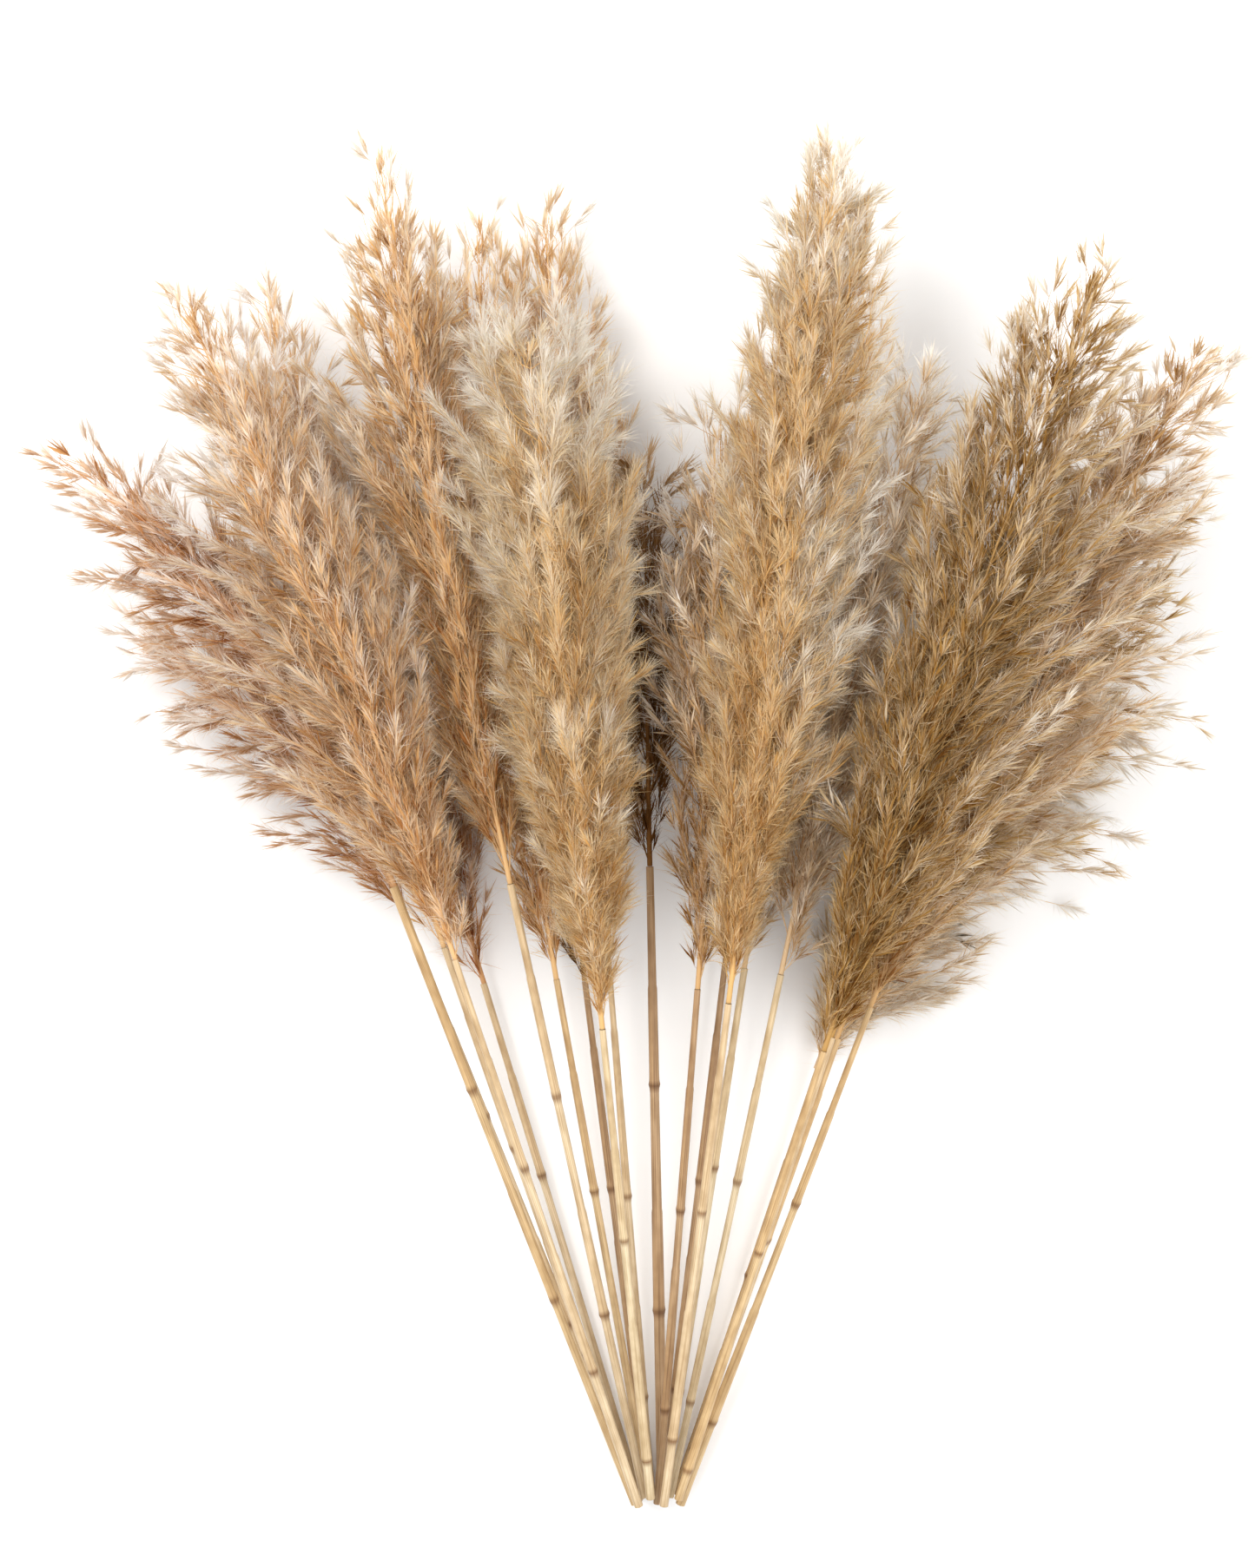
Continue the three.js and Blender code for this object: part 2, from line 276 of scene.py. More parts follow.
# Floor, light and camera
FLOOR_HALF_SIZE = 6.0
FLOOR_COLOUR = (0.9, 0.9, 0.9, 1)
FLOOR_ROUGHNESS = 0.9
WORLD_COLOUR = (1, 1, 1, 1)
WORLD_STRENGTH = 1.0
LIGHTS = (
    {"name": "key", "place": (-0.9, 0.9, 2.2), "size": 1.4, "power": 44, "colour": (1.0, 0.98, 0.95)},
    {"name": "fill", "place": (1.3, -0.6, 1.8), "size": 1.6, "power": 20, "colour": (1.0, 1.0, 1.0)},
)
CAMERA_DISTANCE = 2.3
CAMERA_ASIDE, CAMERA_ALONG = -0.0027, 0.0179  # from the middle of the bunch
PICTURE_HEIGHT = 1.133  # as a share of the bunch's length
SUBJECT_HEIGHT = 0.55  # as a share of the bunch's height

SLOT_OF = {part["node"]: part["material_slot"] for part in frame["record"]["subparts"]}


# Vectors


def unit(vectors):
    return vectors / np.maximum(np.linalg.norm(vectors, axis=-1, keepdims=True), 1e-12)


def mix(a, b, share):
    return a + (b - a) * share


# Centre lines of the CAD pieces


class CentreLine:
    """The middle of a long CAD piece from its lower end to its tip, and its size around it."""

    def __init__(self, node, samples):
        mesh = frame["nodes"][node].data
        vertices = np.empty(len(mesh.vertices) * 3, np.float32)
        mesh.vertices.foreach_get("co", vertices)
        vertices = vertices.reshape(-1, 3).astype(float)
        flat = vertices[:, :2]
        middle = flat.mean(0)
        values, axes = np.linalg.eigh(np.cov((flat - middle).T))
        axis = axes[:, np.argmax(values)]
        axis = axis if axis[1] > 0 else -axis
        side = np.array([axis[1], -axis[0]])
        lengthwise = (flat - middle) @ axis
        aside = np.polyfit(lengthwise, (flat - middle) @ side, CURVE_DEGREE)
        height = np.polyfit(lengthwise, vertices[:, 2], CURVE_DEGREE)
        steps = np.linspace(lengthwise.min(), lengthwise.max(), samples)
        flat_line = middle + steps[:, None] * axis + np.polyval(aside, steps)[:, None] * side
        self.points = np.c_[flat_line, np.polyval(height, steps)]
        gaps = np.linalg.norm(np.diff(self.points, axis=0), axis=1)
        self.distance = np.r_[0, np.cumsum(gaps)]
        self.length = self.distance[-1]
        self.tangents = unit(np.gradient(self.points, self.distance, axis=0))
        apart = np.linalg.norm(vertices[:, None, :2] - self.points[None, :, :2], axis=2)
        nearest = apart.argmin(1)
        self.at = self.distance[nearest]  # how far along each CAD vertex is
        self.apart = apart.min(1)  # and how far out to the side
        self.depth = np.abs(vertices[:, 2] - self.points[nearest, 2]).max()

    def place(self, local):
        """World points from points in a straight frame: x aside, y along, z up."""
        distance = np.clip(local[..., 1], 0, self.length)
        point = np.stack([np.interp(distance, self.distance, line) for line in self.points.T], -1)
        along = np.stack([np.interp(distance, self.distance, line) for line in self.tangents.T], -1)
        along = unit(along)
        aside = unit(np.stack([along[..., 1], -along[..., 0], np.zeros_like(distance)], -1))
        up = np.cross(aside, along)
        beyond = (local[..., 1] - distance)[..., None]
        return point + beyond * along + local[..., :1] * aside + local[..., 2:] * up


# Meshes


def make_object(name, vertices, faces, uvs, material, normals=None):
    """A mesh object from arrays: vertices (n, 3), quads (m, 4), uvs for each corner (m, 4, 2)."""
    mesh = bpy.data.meshes.new(name)
    mesh.vertices.add(len(vertices))
    mesh.vertices.foreach_set("co", np.ascontiguousarray(vertices, np.float32).ravel())
    mesh.loops.add(faces.size)
    mesh.loops.foreach_set("vertex_index", np.ascontiguousarray(faces, np.int32).ravel())
    mesh.polygons.add(len(faces))
    mesh.polygons.foreach_set("loop_start", np.arange(0, faces.size, 4, dtype=np.int32))
    layer = mesh.uv_layers.new(name=UV_NAME)
    layer.uv.foreach_set("vector", np.ascontiguousarray(uvs, np.float32).ravel())
    mesh.materials.append(material)
    mesh.update(calc_edges=True)
    if normals is not None:
        mesh.normals_split_custom_set_from_vertices(normals)
    piece = bpy.data.objects.new(name, mesh)
    bpy.context.scene.collection.objects.link(piece)
    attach(piece, "root")
    return piece


def kites(roots, along, facing, lengths, widths, tones, curl=0.0, widest=0.4):
    """Thin kite-shaped blades: corners (n, 4, 3) and uvs (n, 4, 2), u the tone and v root to tip."""
    side = unit(np.cross(along, facing))
    facing = np.cross(side, along)
    reach = along * lengths[:, None]
    half = side * widths[:, None] / 2
    middle = roots + reach * widest
    tip = roots + reach + facing * (lengths * curl)[:, None]
    corners = np.stack([roots, middle + half, tip, middle - half], 1)
    u = np.clip(tones, TONE_WIDTH, 1 - TONE_WIDTH)
    v = np.array([FIRST_V, widest, LAST_V, widest])
    shift = np.array([0, 1, 0, -1]) * TONE_WIDTH
    uvs = np.stack([u[:, None] + shift, np.broadcast_to(v, (len(u), 4))], -1)
    return corners, uvs


def blades_object(name, line, corners, uvs, material):
    """Places blades on a plume and turns their faces and normals outward, so that it looks full."""
    flat = corners.reshape(-1, 3)
    outward = flat * (1, 0, 1)
    outward[:, 1] += OUTWARD_LEAN * np.linalg.norm(outward, axis=1)
    world = line.place(flat)
    world_out = unit(line.place(flat + unit(outward) * MM) - world)
    world[:, 2] = np.maximum(world[:, 2], LOWEST)
    quads = world.reshape(-1, 4, 3)
    face_normals = unit(np.cross(quads[:, 2] - quads[:, 0], quads[:, 3] - quads[:, 1]))
    centre_out = world_out.reshape(-1, 4, 3).mean(1)
    inward = (face_normals * centre_out).sum(1) < 0
    quads[inward] = quads[inward][:, [0, 3, 2, 1]]
    uvs = uvs.copy()
    uvs[inward] = uvs[inward][:, [0, 3, 2, 1]]
    face_normals[inward] *= -1
    normals = unit(mix(np.repeat(face_normals, 4, axis=0), world_out, ROUNDNESS))
    faces = np.arange(len(flat)).reshape(-1, 4)
    return make_object(name, quads.reshape(-1, 3), faces, uvs, material, normals)


def tubes(paths, radii, sides):
    """Tubes along paths (n, k, 3) with radii (n, k): vertices, quads and uvs, v along each tube."""
    count, rings = paths.shape[:2]
    tangents = unit(np.gradient(paths, axis=1))
    across = unit(np.cross(tangents, NEARLY_UP))
    over = np.cross(across, tangents)
    turns = np.linspace(0, 2 * math.pi, sides, endpoint=False)
    circle = across[:, :, None] * np.cos(turns)[:, None] + over[:, :, None] * np.sin(turns)[:, None]
    vertices = paths[:, :, None] + circle * radii[:, :, None, None]
    index = np.arange(count * rings * sides).reshape(count, rings, sides)
    after = np.roll(index, -1, axis=2)
    quads = np.stack([index[:, :-1], after[:, :-1], after[:, 1:], index[:, 1:]], -1)
    u = np.linspace(FIRST_U, LAST_U, sides + 1)
    v = np.linspace(FIRST_V, LAST_V, rings)
    corner_u = np.stack([u[:-1], u[1:], u[1:], u[:-1]], -1)
    corner_v = np.stack([v[:-1], v[:-1], v[1:], v[1:]], -1)
    uvs = np.zeros(quads.shape + (2,))
    uvs[..., 0] = corner_u[None, None]
    uvs[..., 1] = corner_v[None, :, None]
    return vertices.reshape(-1, 3), quads.reshape(-1, 4), uvs.reshape(-1, 4, 2)


def join_parts(parts):
    """One set of vertices, quads and uvs from several."""
    first = np.cumsum([0] + [len(part[0]) for part in parts[:-1]])
    vertices = np.concatenate([part[0] for part in parts])
    faces = np.concatenate([part[1] + start for part, start in zip(parts, first)])
    uvs = np.concatenate([part[2] for part in parts])
    return vertices, faces, uvs


# Materials


def new_material(name):
    material = bpy.data.materials.new(name)
    material.use_nodes = True
    nodes = material.node_tree.nodes
    nodes.clear()
    return material, nodes, material.node_tree.links


def uv_socket(nodes):
    uv = nodes.new("ShaderNodeUVMap")
    uv.uv_map = UV_NAME
    return uv.outputs["UV"]


def split_uv(nodes, links, uv):
    """The u and the v of a UV socket."""
    split = nodes.new("ShaderNodeSeparateXYZ")
    links.new(uv, split.inputs[0])
    return split.outputs["X"], split.outputs["Y"]


def colour_ramp(nodes, links, place, stops):
    """The colour at a place on a scale of stops, each a position and a colour."""
    ramp = nodes.new("ShaderNodeValToRGB")
    elements = ramp.color_ramp.elements
    while len(elements) < len(stops):
        elements.new(0.5)
    for element, (position, colour) in zip(elements, stops):
        element.position = position
        element.color = (*colour, 1)
    links.new(place, ramp.inputs[0])
    return ramp.outputs[0]


def multiply(nodes, links, first, second):
    """The product of two colours."""
    node = nodes.new("ShaderNodeMix")
    node.data_type = "RGBA"
    node.blend_type = "MULTIPLY"
    node.inputs[0].default_value = 1.0
    links.new(first, node.inputs[6])
    links.new(second, node.inputs[7])
    return node.outputs[2]


def stretched_noise(nodes, links, uv, scale, detail):
    stretch = nodes.new("ShaderNodeMapping")
    stretch.inputs["Scale"].default_value = scale
    links.new(uv, stretch.inputs["Vector"])
    noise = nodes.new("ShaderNodeTexNoise")
    noise.inputs["Scale"].default_value = 1.0
    noise.inputs["Detail"].default_value = detail
    links.new(stretch.outputs[0], noise.inputs["Vector"])
    return noise.outputs[0]


def coated_surface(nodes, links, colour, roughness, specular):
    surface = nodes.new("ShaderNodeBsdfPrincipled")
    surface.inputs["Roughness"].default_value = roughness
    surface.inputs["Specular IOR Level"].default_value = specular
    links.new(colour, surface.inputs["Base Color"])
    return surface


def set_surface(nodes, links, shader):
    output = nodes.new("ShaderNodeOutputMaterial")
    links.new(shader.outputs[0], output.inputs["Surface"])


def blade_material(name, stops, look):
    """Dry plant fibre: the blade's tone on the palette, times a shade at its root and at its tip. On
    husks and hairs the darker root is painted shade.
    """
    material, nodes, links = new_material(name)
    tone, lengthwise = split_uv(nodes, links, uv_socket(nodes))
    shades = [(0.0, look["root"]), (ROOT_SHADE_UP_TO, WHITE), (1.0, look["tip"])]
    palette_colour = colour_ramp(nodes, links, tone, stops)
    colour = multiply(nodes, links, palette_colour, colour_ramp(nodes, links, lengthwise, shades))
    surface = coated_surface(nodes, links, colour, look["roughness"], FIBRE_SPECULAR)
    through = nodes.new("ShaderNodeBsdfTranslucent")
    links.new(colour, through.inputs["Color"])
    shader = nodes.new("ShaderNodeMixShader")
    shader.inputs[0].default_value = look["translucency"]
    links.new(surface.outputs[0], shader.inputs[1])
    links.new(through.outputs[0], shader.inputs[2])
    set_surface(nodes, links, shader)
    return material


def husk_material(slot):
    stops = list(zip(HUSK_STOPS_AT, PALETTES[slot]))
    return blade_material(f"husks_{slot}", stops, HUSK_LOOK)


def silk_material(slot):
    _, middle, light, silk = PALETTES[slot]
    palest = np.array(silk) ** PALEST_SILK_POWER
    stops = list(zip(SILK_STOPS_AT, (middle, light, silk, palest)))
    return blade_material(f"silk_{slot}", stops, SILK_LOOK)


def branch_material(slot):
    _, middle, light, _ = PALETTES[slot]
    paler = mix(np.array(middle), np.array(light), BRANCH_PALER)
    stops = list(zip(BRANCH_STOPS_AT, (middle, paler, middle)))
    return blade_material(f"branches_{slot}", stops, BRANCH_LOOK)


def stem_material(slot, joints):
    """A reed: fine lengthwise fibres, weathered patches, and a dark ring at each joint (v in the UVs)."""
    dark, light = STEM_COLOURS[slot]
    material, nodes, links = new_material(f"reed_{slot}")
    uv = uv_socket(nodes)
    fibres = stretched_noise(nodes, links, uv, FIBRE_SCALE, FIBRE_DETAIL)
    patches = stretched_noise(nodes, links, uv, PATCH_SCALE, PATCH_DETAIL)
    paler = mix(np.array(dark), np.array(light), FIBRE_PALER)
    fibre_colour = colour_ramp(nodes, links, fibres, list(zip(FIBRE_STOPS_AT, (dark, paler, light))))
    weather = colour_ramp(nodes, links, patches, list(zip(PATCH_STOPS_AT, (PATCH_SHADE, WHITE))))
    shades = [(0.0, CUT_END_SHADE), (SHADE_FADE, WHITE)]
    for joint in joints:
        shades.append((joint - SHADE_FADE, WHITE))
        shades.append((joint, JOINT_SHADE))
        shades.append((joint + SHEATH_FROM, SHEATH_SHADE))
    rings = colour_ramp(nodes, links, split_uv(nodes, links, uv)[1], shades)
    colour = multiply(nodes, links, multiply(nodes, links, fibre_colour, weather), rings)
    bump = nodes.new("ShaderNodeBump")
    bump.inputs["Strength"].default_value = FIBRE_BUMP
    bump.inputs["Distance"].default_value = FIBRE_HEIGHT
    links.new(fibres, bump.inputs["Height"])
    surface = coated_surface(nodes, links, colour, STEM_ROUGHNESS, STEM_SPECULAR)
    links.new(bump.outputs[0], surface.inputs["Normal"])
    set_surface(nodes, links, surface)
    return material


# Plumes


def plume_outline(height, fullest):
    """Half width at a height, from 0 at the base to 1 at the tip, as a share of the greatest."""
    beyond = 1 - fullest
    heights = [0, fullest * 0.4, fullest, fullest + beyond * 0.45, fullest + beyond * 0.8, 1]
    return np.interp(height, heights, [0.06, 0.6, 1, 0.85, 0.44, 0.05])


class Plume:
    """One plume: whorls of branches on a bent axis, each branch set with spikelets."""

    def __init__(self, place, number):
        self.place = place
        self.node = f"plume_{place}"
        self.slot = SLOT_OF[self.node]
        self.style = STYLES[self.slot]
        self.line = CentreLine(self.node, PLUME_SAMPLES)
        widest = self.line.apart.argmax()
        self.half_width = self.line.apart[widest] * self.style["body"]
        self.fullest = self.line.at[widest] / self.line.length
        self.half_depth = self.line.depth
        # From -1 at the bunch's left edge to 1 at its right
        self.lean = np.clip(self.line.points[:, 0].mean() / cad_box[1][0], -1, 1)
        self.rng = np.random.default_rng(PLUME_SEED + number)

    def grow_branches(self):
        """Main branches in whorls up the axis: where each starts and ends, and its way out."""
        rng = self.rng
        whorls = int(self.line.length / WHORL_STEP)
        level = np.linspace(0.0, LAST_WHORL, whorls)
        fullness = (self.half_width / USUAL_HALF_WIDTH) ** FULLNESS_POWER
        per_whorl = np.interp(level, BRANCHING_CHANGES_AT, BRANCHES_PER_WHORL) * fullness
        tuft = PALE_TUFTS.get(self.place)
        if tuft:
            low, high = tuft["stretch"]
            per_whorl[(level >= low) & (level < high / 2)] *= tuft["crowd"]
        counts = np.maximum(np.round(per_whorl), 1).astype(int)
        whorl = np.repeat(np.arange(whorls), counts)
        total = whorl.size
        turn = np.concatenate([np.arange(count) / count for count in counts]) * 2 * math.pi
        angle = whorl * GOLDEN_ANGLE + turn + rng.normal(0, TURN_SCATTER, total)
        self.angle = angle - SIDEWAYS_TURN * np.sin(2 * angle)
        outermost = np.maximum(np.cos(self.angle) * self.lean, 0)
        self.start = np.clip(level[whorl] + rng.normal(0, START_SCATTER, total), 0, LAST_START)
        room = TOP_SHARE - self.start
        reach = mix(*BRANCH_REACH, self.start) * rng.uniform(*REACH_SCATTER, total)
        reach *= 1 - OUTERMOST_REACH_LOSS * outermost
        lot = rng.random(total)
        short = lot < SHORT_BRANCHES
        long = (lot > 1 - LONG_BRANCHES * outermost) & (self.start < LONG_START_BELOW)
        reach[short] *= rng.uniform(*SHORT_REACH, short.sum())
        self.end = self.start + room * (1 - np.exp(-reach / room))
        shag = rng.uniform(*SHAG, total) * (1 + OUTERMOST_SHAG_GAIN * outermost)
        self.out = mix(INNERMOST_WAY_OUT, 1.0, rng.random(total) ** WAY_OUT_POWER) * shag
        self.flare = rng.uniform(*FLARE, total) + OUTERMOST_FLARE_GAIN * outermost
        self.wave = rng.normal(0, 1, (total, 2)) * BRANCH_WAVE
        self.tone = rng.normal(0, BRANCH_TONE_SCATTER, total)
        self.out[short] *= SHORT_WAY_OUT
        self.out[long] = LONG_WAY_OUT + LONG_WAY_OUT_SCATTER * rng.random(long.sum())
        self.out[long] += OUTERMOST_LONG_GAIN * outermost[long]
        if tuft:
            pale = (np.cos(self.angle) * tuft["side"] > TUFT_SIDE) & (self.end > low) & (self.end < high)
            pale &= rng.random(total) < TUFT_SHARE
            self.tone[pale] += tuft["paler"]
            self.out[pale & ~long] *= tuft["reach"]
        self.slim = np.where(long, LONG_SLIMNESS, 1.0)

    def on_branch(self, branch, share):
        """Points at shares along the numbered branches, in the straight frame."""
        share = np.maximum(share, 0)
        height = mix(self.start[branch], self.end[branch], share)
        width_at_end = plume_outline(self.end[branch], self.fullest)
        width = np.minimum(width_at_end, plume_outline(height, self.fullest))
        out = self.out[branch] * width * share ** self.flare[branch]
        angle = self.angle[branch] + BRANCH_TWIST * share
        sway = np.sin(math.pi * share)
        aside = out * self.half_width * np.cos(angle) + self.wave[branch, 0] * sway
        up = out * self.half_depth * np.sin(angle) * FLATTENING + self.wave[branch, 1] * sway / 2
        return np.stack([aside, height * self.line.length, up], -1)

    def grow_twigs(self):
        """Twigs along each branch: the branch, the foot, and the way and length."""
        rng = self.rng
        reach = (self.end - self.start) * self.line.length
        counts = np.maximum(np.round(reach / TWIG_STEP), 2).astype(int)
        self.twig_branch = np.repeat(np.arange(len(counts)), counts)
        share = np.concatenate([np.linspace(FIRST_TWIG, 1, count) for count in counts])
        share = np.clip(share + rng.normal(0, TWIG_PLACE_SCATTER, share.size), LOWEST_TWIG, 1)
        self.twig_foot = self.on_branch(self.twig_branch, share)
        ahead = self.on_branch(self.twig_branch, share + NEARBY)
        behind = self.on_branch(self.twig_branch, share - NEARBY)
        along = unit(ahead - behind)
        height = self.twig_foot[:, 1] / self.line.length
        slim = self.slim[self.twig_branch]
        slender = np.minimum(plume_outline(height, self.fullest) / SLENDER_BELOW, 1)
        loose = mix(*TWIG_STRAY, slender) * mix(1, TIP_STRAY, height) * slim
        stray = rng.normal(0, 1, along.shape) * STRAY_AXES * loose[:, None]
        self.twig_way = unit(along + stray)
        lengths = mix(*TWIG_LENGTH, share) * rng.uniform(*TWIG_LENGTH_SCATTER, share.size)
        self.twig_length = lengths * mix(SLENDER_TWIG, 1, slender) * mix(1, TIP_TWIG, height)
        self.twig_length *= mix(SLIM_TWIG, 1, slim)
        self.twig_tone = self.tone[self.twig_branch] + rng.normal(0, TWIG_TONE_SCATTER, share.size)

    def branches_object(self):
        line, count = self.line, len(self.start)
        share = np.linspace(0, 1, BRANCH_RINGS)
        paths = self.on_branch(np.arange(count)[:, None], share[None, :])
        radii = np.broadcast_to(BRANCH_RADIUS * mix(1, BRANCH_TAPER, share), paths.shape[:2])
        parts = [tubes(line.place(paths), radii, BRANCH_SIDES)]
        ends = self.twig_foot + self.twig_way * self.twig_length[:, None]
        twigs = np.stack([self.twig_foot, ends], 1)
        twig_radii = np.broadcast_to(TWIG_RADII, twigs.shape[:2])
        parts.append(tubes(line.place(twigs), twig_radii, BRANCH_SIDES))
        axis = np.zeros((1, AXIS_RINGS, 3))
        axis[0, :, 1] = np.linspace(0, line.length * TOP_SHARE, AXIS_RINGS)
        axis_radii = np.linspace(*AXIS_RADII, AXIS_RINGS)[None]
        parts.append(tubes(line.place(axis), axis_radii, AXIS_SIDES))
        vertices, faces, uvs = join_parts(parts)
        vertices[:, 2] = np.maximum(vertices[:, 2], LOWEST)
        return make_object(f"branches_{self.place}", vertices, faces, uvs, branch_material(self.slot))

    def set_spikelets(self):
        """Where each spikelet sits, on a short stalk off its twig, and the way that it points."""
        rng = self.rng
        counts = np.round(self.twig_length / SPIKELET_STEP).astype(int) + 1
        twig = np.repeat(np.arange(len(counts)), counts)
        share = np.concatenate([np.linspace(FIRST_SPIKELET, 1, count) for count in counts])
        branch = self.twig_branch[twig]
        tipward = np.clip((self.end[branch] - BARE_TIP_FROM) / BARE_TIP_FADE, 0, 1)
        keep = rng.random(twig.size) > self.style["sparse_tip"] * tipward
        twig, share = twig[keep], share[keep]
        self.bare = tipward[keep] * self.style["sparse_tip"]
        way = self.twig_way[twig]
        at = self.twig_foot[twig] + way * (self.twig_length[twig] * share)[:, None]
        self.outward = unit(at * (1, 0, 1) + rng.normal(0, OUTWARD_SCATTER, at.shape))
        leave = unit(way + rng.normal(0, STALK_TURN, at.shape))
        self.stalk_foot = at
        self.foot = at + leave * rng.uniform(*STALK_LENGTH, (len(at), 1))
        self.heading = unit(way + HEADING_TOWARDS_STALK * leave + HEADING_OUTWARD * self.outward)
        height = at[:, 1] / self.line.length
        edge = np.maximum(plume_outline(height, self.fullest), NARROWEST_OUTLINE)
        # Painted shade: spikelets nearer the plume's axis take a lower, darker tone. The rise up the
        # plume and at its tip is its own colour.
        outer = np.hypot(at[:, 0] / self.half_width, at[:, 2] / self.half_depth) / edge
        tones = PAINTED_INNER_SHADE * np.clip(outer, 0, OUTERMOST_COUNTED) + TONE_UPWARD * height
        tones += TONE_AT_TIP * height**4
        self.tones = tones - TONE_LOSS + self.twig_tone[twig]

    def spread(self, count, turn):
        """Ways for count blades from each spikelet, fanned out by turn, and the way each faces."""
        rng = self.rng
        each = np.repeat(np.arange(len(self.foot)), count)
        along = unit(self.heading[each] + rng.normal(0, turn, (each.size, 3)))
        facing = np.cross(along, rng.normal(0, 1, along.shape)) + BLADES_FACE_OUT * self.outward[each]
        return each, along, unit(facing)

    def husks_object(self):
        rng = self.rng
        each, along, facing = self.spread(HUSKS_PER_SPIKELET, self.style["spread"])
        roots = self.foot[each] + self.heading[each] * rng.uniform(*HUSK_ROOTS, (each.size, 1))
        lengths = rng.uniform(*HUSK_LENGTH, each.size)
        widths = rng.uniform(*HUSK_WIDTH, each.size) * self.style["husk"]
        widths *= 1 + BARE_TIP_WIDENING * self.bare[each]
        tones = self.tones[each] + rng.normal(0, HUSK_TONE_SCATTER, each.size)
        corners, uvs = kites(roots, along, facing, lengths, widths, tones, HUSK_CURL)
        stalks = self.foot - self.stalk_foot
        stalk_lengths = np.linalg.norm(stalks, axis=1) + STALK_OVERLAP
        stalk_widths = np.full(len(stalks), STALK_WIDTH)
        stalk_corners, stalk_uvs = kites(
            self.stalk_foot, unit(stalks), self.outward, stalk_lengths, stalk_widths, self.tones
        )
        corners = np.concatenate([corners, stalk_corners])
        uvs = np.concatenate([uvs, stalk_uvs])
        return blades_object(f"husks_{self.place}", self.line, corners, uvs, husk_material(self.slot))

    def silk_object(self):
        rng = self.rng
        each, along, facing = self.spread(self.style["hairs"], HAIR_SPREAD)
        roots = self.foot[each] + self.heading[each] * rng.uniform(*HAIR_ROOTS, (each.size, 1))
        lengths = rng.uniform(*HAIR_LENGTH, each.size)
        widths = rng.uniform(*HAIR_WIDTH, each.size)
        tones = HAIR_TONE_GAIN + self.tones[each] + rng.normal(0, HAIR_TONE_SCATTER, each.size)
        corners, uvs = kites(roots, along, facing, lengths, widths, tones, HAIR_CURL, HAIR_WIDEST)
        return blades_object(f"silk_{self.place}", self.line, corners, uvs, silk_material(self.slot))

    def build(self):
        self.grow_branches()
        self.grow_twigs()
        self.set_spikelets()
        pieces = [self.branches_object(), self.husks_object(), self.silk_object()]
        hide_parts(self.node)


# Stems


def find_joints(line, taper):
    """How far along a CAD stem its joints are: where its skin stands out from its taper."""
    swollen = line.at[line.apart - np.polyval(taper, line.at) > SWOLLEN_BY]
    joints = [swollen[0]] if len(swollen) else []
    for at in np.sort(swollen):
        if at - joints[-1] > JOINTS_APART:
            joints.append(at)
    return joints


def build_stem(place, number):
    """A reed stem with its joints, and a leaf sheath above each joint."""
    node = f"stem_{place}"
    slot = SLOT_OF[node]
    line = CentreLine(node, STEM_SAMPLES)
    rng = np.random.default_rng(STEM_SEED + number)
    skin = line.apart > SKIN_FROM
    taper = np.polyfit(line.at[skin], line.apart[skin], 1)
    joints = find_joints(line, taper)
    distance = np.linspace(0, line.length, STEM_RINGS)
    radius = np.polyval(taper, distance)
    for joint in joints:
        above = distance - joint
        radius += JOINT_SWELL * np.exp(-((above / JOINT_HALF_LENGTH) ** 2))
        radius += SHEATH_THICKNESS * ((above > 0) & (above < rng.uniform(*SHEATH_LENGTH)))
    path = np.zeros((1, STEM_RINGS, 3))
    path[0, :, 1] = distance
    vertices, faces, uvs = tubes(line.place(path), radius[None], STEM_SIDES)
    vertices[:, 2] = np.maximum(vertices[:, 2], LOWEST)
    rings = [float(mix(FIRST_V, LAST_V, joint / line.length)) for joint in joints]
    piece = make_object(f"reed_{place}", vertices, faces, uvs, stem_material(slot, rings))
    for polygon in piece.data.polygons:
        polygon.use_smooth = True
    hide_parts(node)


# Scene


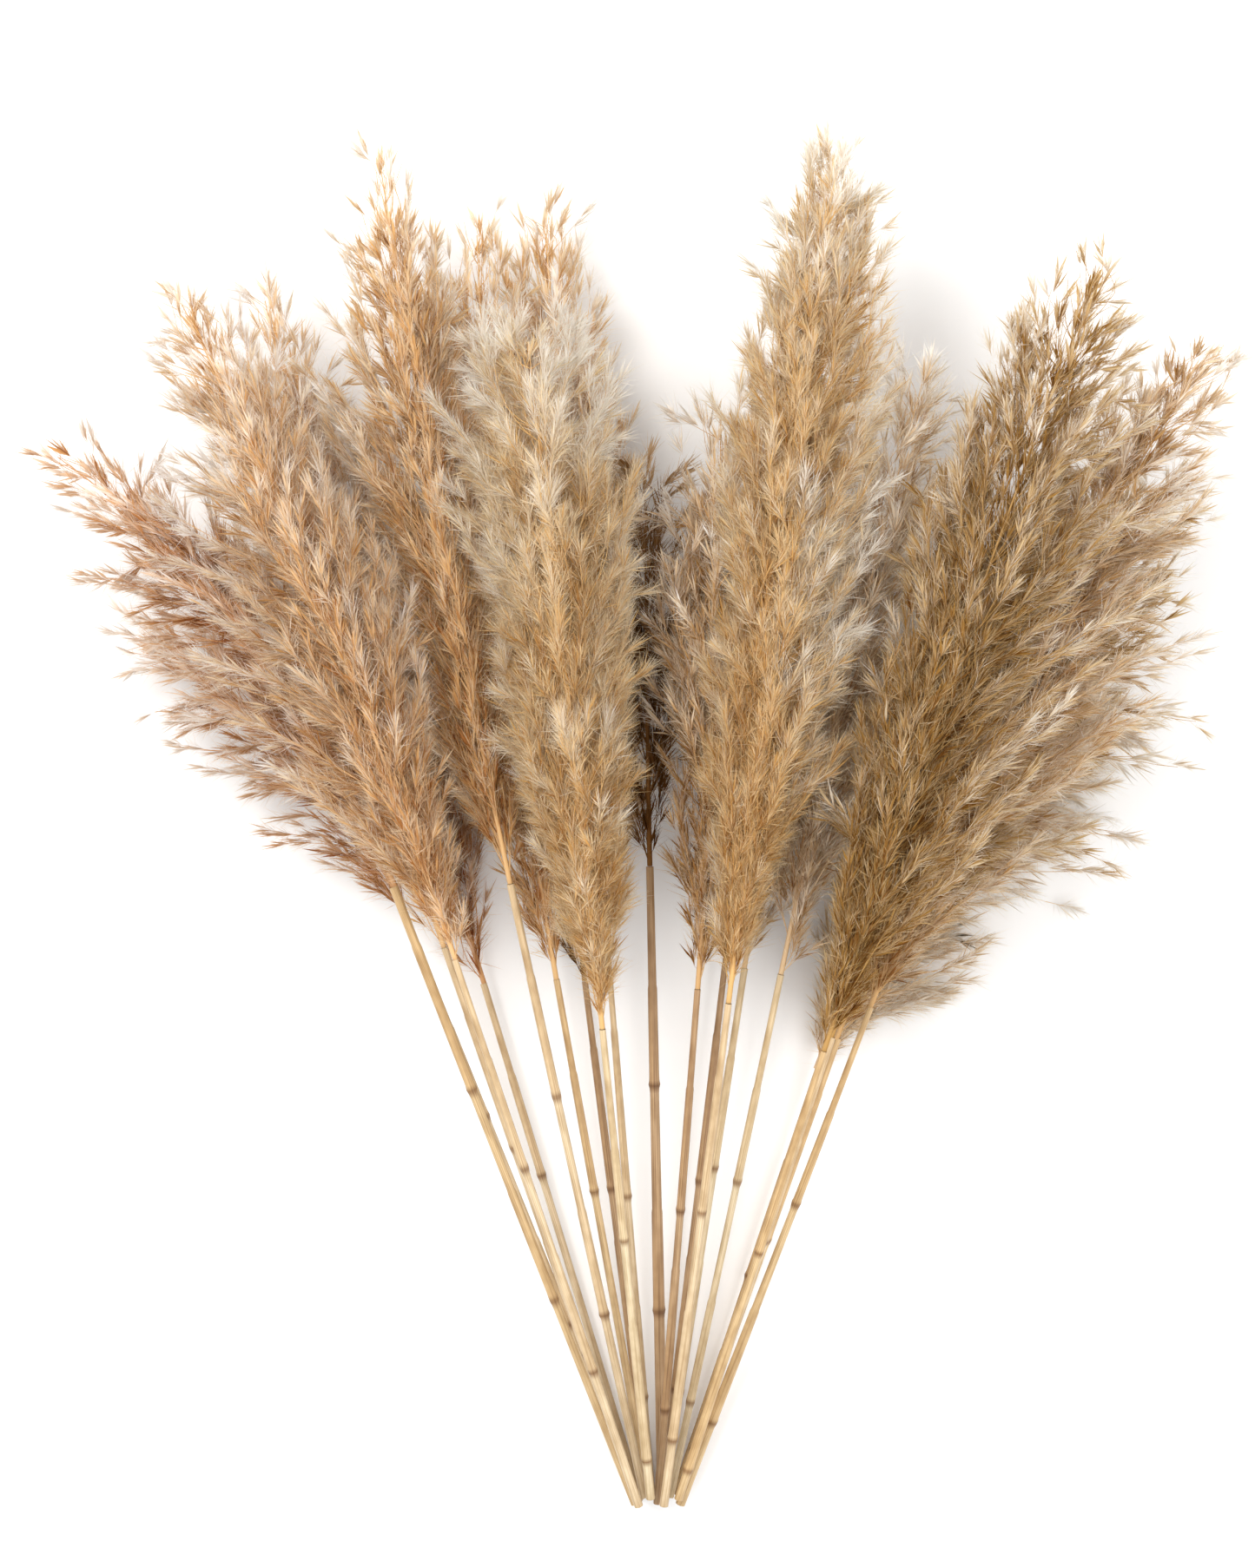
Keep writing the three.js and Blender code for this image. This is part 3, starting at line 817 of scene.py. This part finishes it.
def build_floor():
    half = FLOOR_HALF_SIZE
    corners = [(-half, -half, 0), (half, -half, 0), (half, half, 0), (-half, half, 0)]
    mesh = bpy.data.meshes.new("floor")
    mesh.from_pydata(corners, [], [(0, 1, 2, 3)])
    material, nodes, links = new_material("pale_floor")
    surface = nodes.new("ShaderNodeBsdfPrincipled")
    surface.inputs["Base Color"].default_value = FLOOR_COLOUR
    surface.inputs["Roughness"].default_value = FLOOR_ROUGHNESS
    set_surface(nodes, links, surface)
    mesh.materials.append(material)
    floor = bpy.data.objects.new("floor", mesh)
    bpy.context.scene.collection.objects.link(floor)


def add_area_light(name, place, size, power, colour):
    """A round light that shines at the middle of the bunch's underside."""
    light = bpy.data.lights.new(name, "AREA")
    light.shape = "DISK"
    light.size = size
    light.energy = power
    light.color = colour
    lamp = bpy.data.objects.new(name, light)
    lamp.location = place
    aim = -lamp.location
    lamp.rotation_euler = aim.to_track_quat("-Z", "Y").to_euler()
    bpy.context.scene.collection.objects.link(lamp)


def light_scene():
    world = bpy.data.worlds.new("studio")
    world.use_nodes = True
    background = world.node_tree.nodes["Background"]
    background.inputs["Color"].default_value = WORLD_COLOUR
    background.inputs["Strength"].default_value = WORLD_STRENGTH
    bpy.context.scene.world = world
    for light in LIGHTS:
        add_area_light(**light)
    bpy.context.scene.view_settings.view_transform = "Standard"


def add_camera():
    """Looks straight down, with the cut ends at the bottom of the picture."""
    low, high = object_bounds()
    frame_height = PICTURE_HEIGHT * (high[1] - low[1])
    data = bpy.data.cameras.new("camera")
    data.sensor_fit = "VERTICAL"
    data.angle = 2 * math.atan(frame_height / 2 / CAMERA_DISTANCE)
    camera = bpy.data.objects.new("camera", data)
    camera.location = (CAMERA_ASIDE, CAMERA_ALONG, SUBJECT_HEIGHT * high[2] + CAMERA_DISTANCE)
    bpy.context.scene.collection.objects.link(camera)
    bpy.context.scene.camera = camera


add_camera()
places = [node.removeprefix("plume_") for node in SLOT_OF if node.startswith("plume_")]
for number, place in enumerate(places):
    build_stem(place, number)
    Plume(place, number).build()
build_floor()
light_scene()
